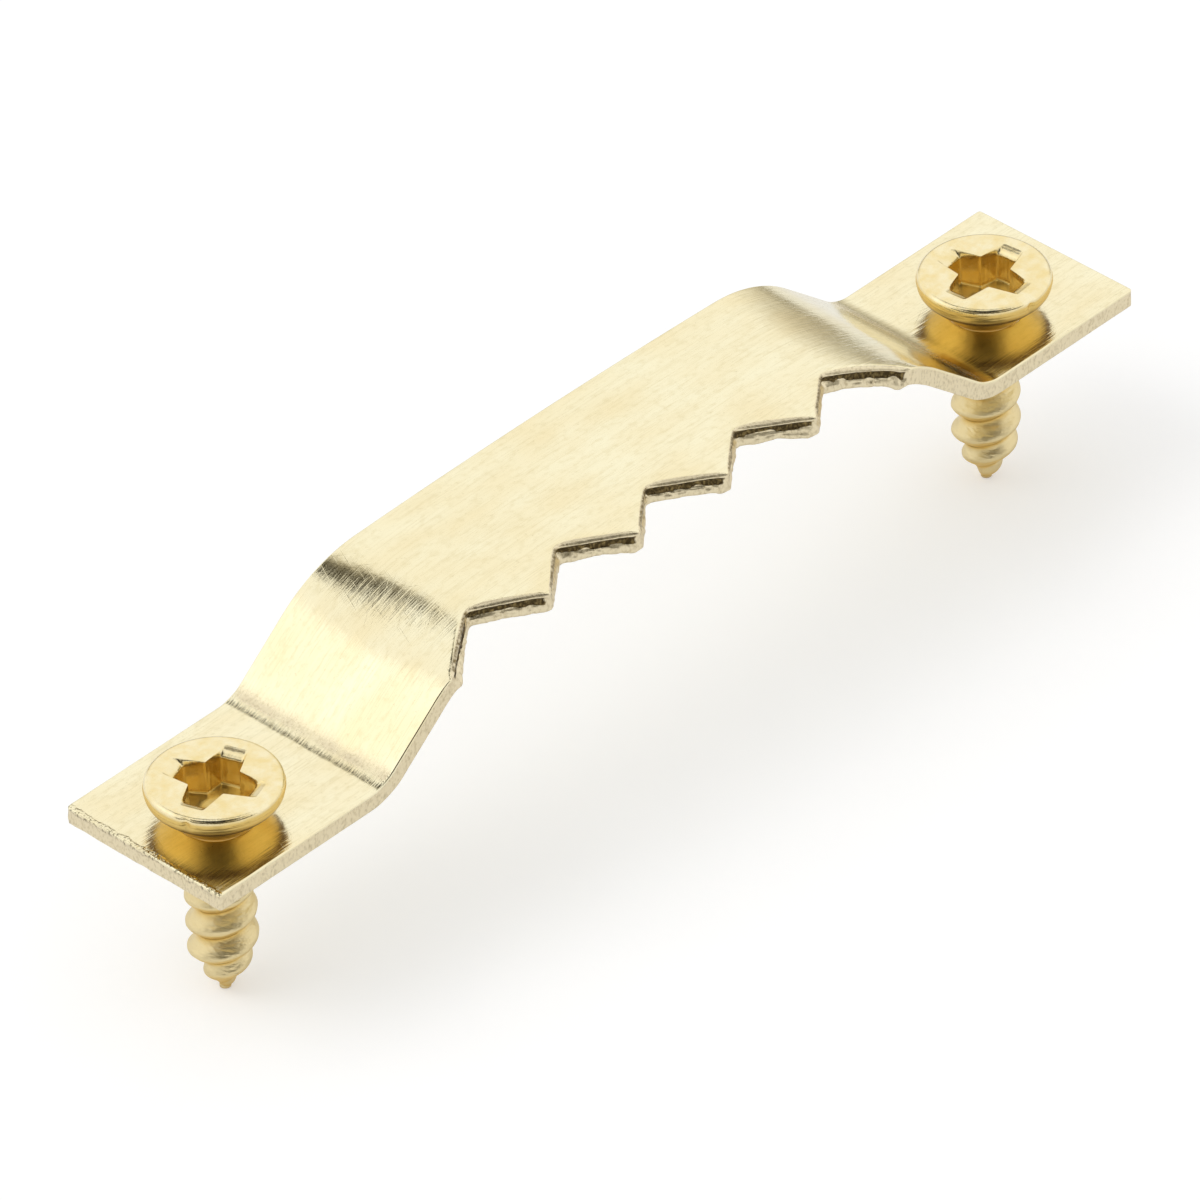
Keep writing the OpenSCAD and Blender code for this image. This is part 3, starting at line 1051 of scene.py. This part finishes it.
@dataclass
class WoodScrew:
    """A countersunk wood screw with a cross recess: one surface, from the recess over the head to the tip."""

    name: str
    node: str
    x: float
    y: float
    turn: float
    nick: float
    length: float = 8.76
    head_radius: float = 2.35
    rim: float = 0.56
    bevel: float = 0.2
    seat: float = 0.67
    hole_radius: float = 1.35
    thread_radius: float = 1.22
    root_radius: float = 0.81
    pitch: float = 1.1
    neck_radius: float = 1.15
    neck_below: float = 0.35
    point: float = 1.8
    tip_radius: float = 0.2
    thread_start: float = 0.6
    crest_power: float = 0.9
    point_power: float = 0.6
    thread_angle: float = 269.0
    recess_depth: float = 1.25
    recess_span: float = 3.44
    wing_lip: float = 0.3
    lip_run: float = 0.38
    wall_run: float = 0.05
    floor_round: float = 0.12
    rim_round: float = 0.4
    nick_width: float = 0.06
    nick_depth: float = 0.13
    wing: float = 0.84
    core: float = 1.8
    floor_core: float = 0.42
    draw_lines: float = 0.008
    face_wave: float = 0.006
    rim_rough: float = 0.006
    rim_bulge: tuple[tuple[float, float], ...] = (
        (0.235, 0.0), (0.26, 0.0), (0.285, 0.016), (0.305, 0.024), (0.325, 0.016), (0.35, -0.01))
    crest_wear: float = 0.012
    thread_fade: float = 0.18
    # Painted shade in the recess, under the head, in the crease under the rim and on the thread
    lip_shade: float = 0.12
    wall_shade: float = 0.08
    floor_shade: float = 0.85
    crease_below: float = 0.14
    crease_reach: float = 0.17
    thread_shade: tuple[float, float, float] = (0.15, 0.75, 0.7)
    sides: int = 288
    thread_step: float = 0.045

    @property
    def face(self) -> float:
        """Height of the head's flat face."""
        return self.seat + self.head_radius - self.hole_radius + self.rim

    @property
    def neck_top(self) -> float:
        """Height at which the countersink meets the neck."""
        return self.seat - (self.hole_radius - self.neck_radius)

    def _cross(self, angle: np.ndarray, span: float, wing: float, core: float) -> np.ndarray:
        """Outline of the recess: distance from the axis to the nearer of a wing's end and side.

        The side is the straight line from the wing's corner to the inner corner between two wings, and the
        outline is rounded afterwards.

        Args:
            angle: angles round the axis.
            span: distance from wing tip to wing tip.
            wing: width of a wing at its end.
            core: distance between opposite inner corners.

        Returns:
            The outline's radius at each angle.
        """
        folded = np.abs((angle + math.pi / 4) % (math.pi / 2) - math.pi / 4)
        corner = np.array([span, wing]) / 2
        inner = np.array([core, core]) / math.sqrt(8)
        normal = np.array([corner[1] - inner[1], inner[0] - corner[0]])
        normal *= np.sign(normal @ corner)
        end = span / 2 / np.cos(folded)
        side = normal @ corner / (normal[0] * np.cos(folded) + normal[1] * np.sin(folded))
        return smoothed(np.minimum(end, np.where(side > 0, side, 99.0)), self.sides / 360 * 1.6, closed=True)

    def _wall(self, angle: np.ndarray, down: float) -> np.ndarray:
        """Outline of the recess at a depth: its wings end in a rounded lip over a steep wall.

        The lip is a quarter of an ellipse without its first 20 degrees. Below it the wall leans in evenly.

        Args:
            angle: angles round the axis.
            down: depth below the head's face.

        Returns:
            The outline's radius at each angle.
        """
        start = math.radians(20)
        turn = math.acos(math.cos(start) * (1 - min(1.0, down / self.wing_lip)))
        lip = self.lip_run * (math.sin(turn) - math.sin(start)) / (1 - math.sin(start))
        share = max(0.0, (down - self.wing_lip) / (self.recess_depth - self.wing_lip))
        reach = self.recess_span / 2 - lip - self.wall_run * share
        narrow = 1 - 0.06 * down / self.recess_depth
        return self._cross(angle, 2 * reach, self.wing * narrow, self.core * narrow)

    def _recess_rings(self, angle: np.ndarray) -> list[Ring]:
        """Rings from the middle of the recess's floor up its wall and out over the flat face.

        Fine lines are drawn down the wall, and the face is slightly wavy between recess and bevel.

        Args:
            angle: angles round the axis.

        Returns:
            Radius and height of each ring.
        """
        depth, core = self.recess_depth, self.floor_core
        floor_line = self._wall(angle, depth)
        floor_end = floor_line * (1 - self.floor_round / floor_line.max())
        drawn = self.draw_lines * lattice_noise(angle * 16, 0.5, 37)
        rings = [(0.0, depth + 0.2), (0.22, depth + 0.1), (core, depth)]
        rings += [(core + (floor_end - core) * t, depth) for t in (0.35, 0.7, 1.0)]
        for turn in np.linspace(0.25, math.pi / 2, 6):
            line = floor_end + (floor_line - floor_end) * math.sin(turn)
            rings.append((line + drawn * math.sin(turn), depth - self.floor_round * (1 - math.cos(turn))))
        steep = np.linspace(depth - self.floor_round - 0.05, self.wing_lip + 0.03, 9)
        for down in (*steep, 0.29, 0.26, 0.22, 0.18, 0.14, 0.1, 0.06, 0.03):
            rings.append((self._wall(angle, float(down)) + drawn * min(1, down / self.wing_lip), down))
        mouth = self._cross(angle, self.recess_span, self.wing, self.core)
        rings += [(mouth + out, down) for out, down in ((0.002, 0.006), (0.008, 0.002), (0.03, 0.0))]
        start, end = mouth + 0.03, self.head_radius - self.bevel
        wave = self.face_wave * lattice_noise(3 * np.cos(angle) + 9, 3 * np.sin(angle) + 9 + self.turn, 11)
        for t in (0.12, 0.3, 0.5, 0.7, 0.86, 0.96, 1.0):
            rings.append((start + (end - start) * t, -wave * math.sin(math.pi * t)))
        return [(radius, self.face - down) for radius, down in rings]

    def _rim_rings(self, angle: np.ndarray) -> list[Ring]:
        """Rings over the bevel, down the rim with its bulge and its nick, and in along the countersink.

        The rim turns into the countersink on an arc of 45 degrees. The nick is deepest halfway down the rim.

        Args:
            angle: angles round the axis.

        Returns:
            Radius and height of each ring.
        """
        flat, full, arc = self.head_radius - self.bevel, self.head_radius, self.rim_round
        rings = [(flat + self.bevel * math.sin(a), self.bevel * (1 - math.cos(a)))
                 for a in np.linspace(0, math.pi / 2, 7)[1:]]
        rings += [(full + out + self.rim_rough * lattice_noise(angle * 14, down * 20, 17), down)
                  for down, out in self.rim_bulge]
        below = self.rim - arc * math.tan(math.pi / 8)
        rings += [(full - arc * (1 - math.cos(a)), below + arc * math.sin(a))
                  for a in np.linspace(0, math.pi / 4, 6)]
        aside = (angle - math.radians(self.nick) + math.pi) % (2 * math.pi) - math.pi
        nick = self.nick_depth * np.exp(-((aside / self.nick_width) ** 2))
        middle, reach = self.rim / 2 + 0.05, self.rim / 3
        rings = [(r - nick * math.exp(-(((down - middle) / reach) ** 2)), down) for r, down in rings]
        (start, under), low = rings[-1], self.face - self.neck_top
        rings += [(start + (self.neck_radius - start) * t, under + (low - under) * t)
                  for t in np.linspace(0, 1, 14)[1:]]
        return [(radius, self.face - down) for radius, down in rings]

    def _thread_rings(self, angle: np.ndarray) -> list[Ring]:
        """Rings down the neck and the thread.

        The ridge's height is a power of a raised cosine of the turns that a point lies above the helix. Root
        and ridge are drawn in together along the pointed end.

        Args:
            angle: angles round the axis.

        Returns:
            Radius and height of each ring.
        """
        tip = self.face - self.length
        z = np.linspace(-self.neck_below, tip, int((-self.neck_below - tip) / self.thread_step))
        rings = [(self.neck_radius, h) for h in np.linspace(self.neck_top - 0.02, -self.neck_below + 0.05, 6)]
        helix = (angle[None] - math.radians(self.thread_angle)) / (2 * math.pi)
        turns = (z[:, None] - tip) / self.pitch - helix
        crest = ((1 + np.cos(turns * 2 * math.pi)) / 2) ** self.crest_power
        start = np.clip((-self.neck_below - z) / (self.thread_start * self.pitch), 0, 1)[:, None]
        share = np.clip((z - tip) / self.point, 0, 1)[:, None] ** self.point_power
        body = self.root_radius + (self.thread_radius - self.root_radius) * crest * start
        body += self.crest_wear * crest * lattice_noise(turns * 9, angle[None] * 3, 23)
        fade = np.clip((-self.neck_below - z) / self.thread_fade, 0, 1)[:, None]
        body = self.neck_radius * (1 - fade) + body * fade
        rings += zip(np.maximum(self.tip_radius, body * share), z)
        return rings + [(self.tip_radius * 0.8, tip), (0.0, tip)]

    def _painted_shade(self, radius: np.ndarray, height: np.ndarray) -> np.ndarray:
        """Mark of painted shade in the sheltered places: the recess, the countersink and neck, and the hollows
        of the thread.

        The crease between rim and countersink gets the darkest painted shade. On the thread the lower flanks,
        where the radius shrinks downwards, get painted shade in deeper yellow. The recess's rings come before
        the one in the middle of the face, which reaches highest.

        Args:
            radius: distance from the axis.
            height: height of each point.

        Returns:
            0 on open metal, 1 in full painted shade, and up to 2 in the darkest painted shade of the crease.
        """
        down = self.face - height
        row = np.arange(len(radius))[:, None]
        face_row = int(np.argmax(height.max(axis=1)))
        wall = np.clip((down - self.wing_lip) / 0.06, 0, 1)
        floor = np.clip((down - self.recess_depth + 0.15) / 0.1, 0, 1)
        recess = self.lip_shade * (down > 0.01) + self.wall_shade * wall + self.floor_shade * floor
        under = np.clip((down - 0.12) / 0.1, 0, 1) * (height > -self.neck_below)
        crease = np.exp(-(((down - self.rim - self.crease_below) / self.crease_reach) ** 2)) * (row > face_row)
        change = np.gradient(radius, axis=0)
        lower_flank = np.clip(-change / 0.03, 0, 1)
        hollow = np.clip(np.gradient(change, axis=0) / 0.012 - 0.35, 0, 1)
        everywhere, on_flank, in_hollow = self.thread_shade
        thread = everywhere + on_flank * lower_flank + in_hollow * hollow
        thread = thread * (height <= -self.neck_below - 0.2)
        return np.where(row < face_row, recess, np.maximum(under, thread) + crease)

    def build(self, body: str, material: bpy.types.Material) -> bpy.types.Object:
        """Builds the screw and puts it in the place of its CAD node.

        Args:
            body: CAD body that it rides on.
            material: its finish.

        Returns:
            The finished piece.
        """
        angle = 2 * math.pi * np.arange(self.sides) / self.sides
        rings = self._recess_rings(angle) + self._rim_rings(angle) + self._thread_rings(angle)
        radius, height = (np.array([np.broadcast_to(ring[i], angle.shape) for ring in rings]) for i in (0, 1))
        turned = angle[None] + math.radians(self.turn)
        points = np.stack([self.x + radius * np.cos(turned), self.y + radius * np.sin(turned), height], axis=-1)
        # The mark is the screw's painted shade
        patch = Patch(points, self._painted_shade(radius, height), closed=True)
        piece = mesh_from_patches(self.name, [patch], material)
        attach(piece, body)
        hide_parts(self.node)
        return piece


# The studio


@dataclass
class Card:
    """A card that only reflections see: a band across the sky as the hanger sees it.

    The band's middle runs through the given bearings, each an azimuth from +X towards +Y and an elevation,
    and its half width at each is an angle too. All are in degrees. Its brightness changes across the band,
    from the side to the left of its path, seen from inside, to the other side, and it is tinted where it is
    dark.
    """

    name: str
    bearings: tuple[tuple[float, float], ...]
    half_widths: tuple[float, ...]
    levels: tuple[float, ...]
    distance: float = 0.5
    tint: str = "#fff0c8"

    def build(self) -> None:
        """Hangs the card in the studio."""
        azimuth, elevation = np.radians(np.array(self.bearings)).T
        middle = np.stack([np.cos(azimuth) * np.cos(elevation), np.sin(azimuth) * np.cos(elevation),
                           np.sin(elevation)], axis=1)
        across = np.cross(np.gradient(middle, axis=0), middle)
        across /= np.linalg.norm(across, axis=1)[:, None]
        across *= np.tan(np.radians(np.array(self.half_widths)))[:, None]
        share = np.linspace(-1, 1, len(self.levels))
        patch = Patch((middle[:, None] + across[:, None] * share[None, :, None]) * self.distance)
        mesh = bpy.data.meshes.new(self.name)
        mesh.from_pydata(patch.points.reshape(-1, 3), [], patch.faces(0).tolist())
        levels = np.tile(np.array(self.levels, np.float32), len(middle))
        mesh.attributes.new("level", "FLOAT", "POINT").data.foreach_set("value", levels)
        material = bpy.data.materials.new(self.name)
        made = NodeBuild(material)
        level = made.add("Attribute", attribute_name="level")["Fac"]
        colour = made.add("Mix", {0: level, 6: self.tint, 7: WHITE}, data_type="RGBA")[2]
        made.add("OutputMaterial", {"Surface": made.add("Emission", (colour, level))[0]})
        mesh.materials.append(material)
        card = add_object(self.name, mesh)
        for ray in ("camera", "diffuse", "shadow", "transmission", "volume_scatter"):
            setattr(card, f"visible_{ray}", False)


@dataclass
class SoftLamp:
    """A square lamp that faces the hanger. A level of 1 lights it as a white surface does.

    The direction leads from the hanger to the lamp, and the distance and the side's size are in metres.
    """

    name: str
    direction: tuple[float, float, float]
    size: float
    level: float
    reflected: bool
    distance: float = 0.7

    def build(self) -> None:
        """Hangs the lamp in the studio."""
        lamp = bpy.data.lights.new(self.name, "AREA")
        lamp.shape = "SQUARE"
        lamp.size = self.size
        lamp.energy = self.level * math.pi * self.size * self.size
        thing = add_object(self.name, lamp)
        way = Vector(self.direction).normalized()
        thing.location = way * self.distance
        thing.rotation_mode = "QUATERNION"
        thing.rotation_quaternion = way.to_track_quat("Z", "Y")
        thing.visible_camera = False
        thing.visible_glossy = self.reflected


LAMPS = (
    SoftLamp("key_lamp", (-0.5, 0.35, 0.8), 0.4, 2.2, False),
    SoftLamp("ramp_box", (-0.52, 0.56, 0.65), 0.34, 0.2, True),
)
# The dark gap between two soft boxes overhead, the grey end of the room, the camera with the photographer,
# and the dark room to both sides
CARDS = (
    Card("gap_card", ((-30, 72), (60, 79), (82, 66), (76.5, 57.5), (75.5, 54), (75, 52), (74.5, 50)),
         (5, 6, 8, 3.8, 3.2, 1.4, 0.6), (0.05, 0.05, 0.05, 0.35, 1.0)),
    Card("horizon_card", ((5, 11), (35, 11), (75, 11)), (14, 14, 14), (0.98, 0.82, 0.58, 0.12)),
    Card("camera_card", ((224.5, 34), (224.5, 45), (224.5, 58), (224.5, 72)), (14, 30, 36, 30),
         (0.5, 0.1, 0.01, 0.01, 0.01, 0.1, 0.5)),
    Card("room_card", ((165, 19), (195, 20), (224.5, 21), (254, 20), (284, 19)), (9, 11, 12, 11, 9),
         (0.12, 0.12)),
)


@dataclass
class Studio:
    """Pale floor and white surroundings, with soft lamps and the cards that give bright metal its dark lines."""

    floor_z: float = -6.56
    floor_half: float = 1500.0
    floor_colour: str = "#dedede"
    floor_lift: float = 0.32
    mirror_lift: float = 0.15
    world_level: float = 0.82

    def build(self) -> None:
        """Builds the whole studio."""
        self._world()
        self._floor()
        for thing in (*LAMPS, *CARDS):
            thing.build()

    def _world(self) -> None:
        """White for the camera and for reflections, and a plain level for light."""
        world = bpy.data.worlds.new("white_room")
        bpy.context.scene.world = world
        made = NodeBuild(world)
        rays = made.add("LightPath")
        seen = made.add("Math", (rays["Is Camera Ray"], rays["Is Glossy Ray"]), operation="ADD")[0]
        seen = made.add("Math", (seen, rays["Is Transmission Ray"]), operation="ADD")[0]
        level = made.add("MapRange", (seen, 0.0, 1.0, self.world_level, 1.0))[0]
        made.add("OutputWorld", {"Surface": made.add("Background", (WHITE, level))[0]})

    def _floor(self) -> None:
        """A matt floor that looks white to the camera, keeps a soft shadow, and is open from below."""
        r, z = self.floor_half * MM, self.floor_z * MM
        mesh = bpy.data.meshes.new("floor")
        mesh.from_pydata([(-r, -r, z), (r, -r, z), (r, r, z), (-r, r, z)], [], [(0, 1, 2, 3)])
        material = bpy.data.materials.new("matt_white_floor")
        made = NodeBuild(material)
        rays = made.add("LightPath")
        mirrored = made.add("Math", (rays["Is Glossy Ray"], self.mirror_lift), operation="MULTIPLY")[0]
        lift = (rays["Is Camera Ray"], self.floor_lift, mirrored)
        matt = made.add("BsdfDiffuse", {"Color": self.floor_colour})[0]
        glow = made.add("Emission", {"Strength": made.add("Math", lift, operation="MULTIPLY_ADD")[0]})[0]
        solid = made.add("AddShader", (matt, glow))[0]
        below = made.add("NewGeometry")["Backfacing"]
        hidden = made.add("Math", (rays["Is Camera Ray"], below), operation="MULTIPLY")[0]
        mix = made.add("MixShader", (hidden, solid, made.add("BsdfTransparent")[0]))[0]
        made.add("OutputMaterial", {"Surface": mix})
        mesh.materials.append(material)
        add_object("floor", mesh)


@dataclass
class ViewPoint:
    """The camera, where the photograph was taken from: turned round the origin, then shifted sideways."""

    azimuth: float = -45.4623
    elevation: float = 37.2694
    roll: float = -1.8962
    distance: float = 444.5
    right: float = -0.4302
    up: float = -1.4593
    pixels_per_mm: float = 29.52067
    frame_pixels: float = 1200.0
    sensor: float = 36.0

    def build(self) -> None:
        """Puts the camera in place and makes it the scene's camera."""
        a, e, r = (math.radians(v) for v in (self.azimuth, self.elevation, self.roll))
        side = Vector((math.cos(a), math.sin(a), 0))
        back = Vector((math.sin(a) * math.cos(e), -math.cos(a) * math.cos(e), math.sin(e)))
        upward = back.cross(side)
        side, upward = side * math.cos(r) + upward * math.sin(r), upward * math.cos(r) - side * math.sin(r)
        lens = bpy.data.cameras.new("camera")
        lens.sensor_width = self.sensor
        lens.lens = self.sensor * self.pixels_per_mm * self.distance / self.frame_pixels
        lens.clip_start, lens.clip_end = 0.01, 10.0
        camera = add_object("camera", lens)
        spot = (side * self.right + upward * self.up + back * self.distance) * MM
        camera.matrix_world = Matrix((
            (side.x, upward.x, back.x, spot.x),
            (side.y, upward.y, back.y, spot.y),
            (side.z, upward.z, back.z, spot.z),
            (0, 0, 0, 1),
        ))
        bpy.context.scene.camera = camera


def main() -> None:
    """Builds the camera, the studio and the hanger's three pieces, and reports each."""
    logging.basicConfig(level=logging.INFO, format="%(message)s")
    bpy.context.scene.view_settings.view_transform = "Standard"
    ViewPoint().build()
    Studio().build()
    strip = HangerStrip()
    screw_finish = TumbledBrassPlate().material()
    left = WoodScrew("left_screw_body", "left_screw", strip.left_hole_in - strip.line.length / 2,
                     -strip.hole_offset, 19.0, 182.0)
    right = WoodScrew("right_screw_body", "right_screw", strip.line.length / 2 - strip.right_hole_in,
                      -strip.hole_offset, 276.0, 350.0)
    pieces = [
        strip.build(BrushedBrassPlate().material()),
        left.build("left_screw", screw_finish),
        right.build("right_screw", screw_finish),
    ]
    for piece in pieces:
        log.info("%s: %d faces", piece.name, len(piece.data.polygons))


if __name__ == "__main__":
    main()
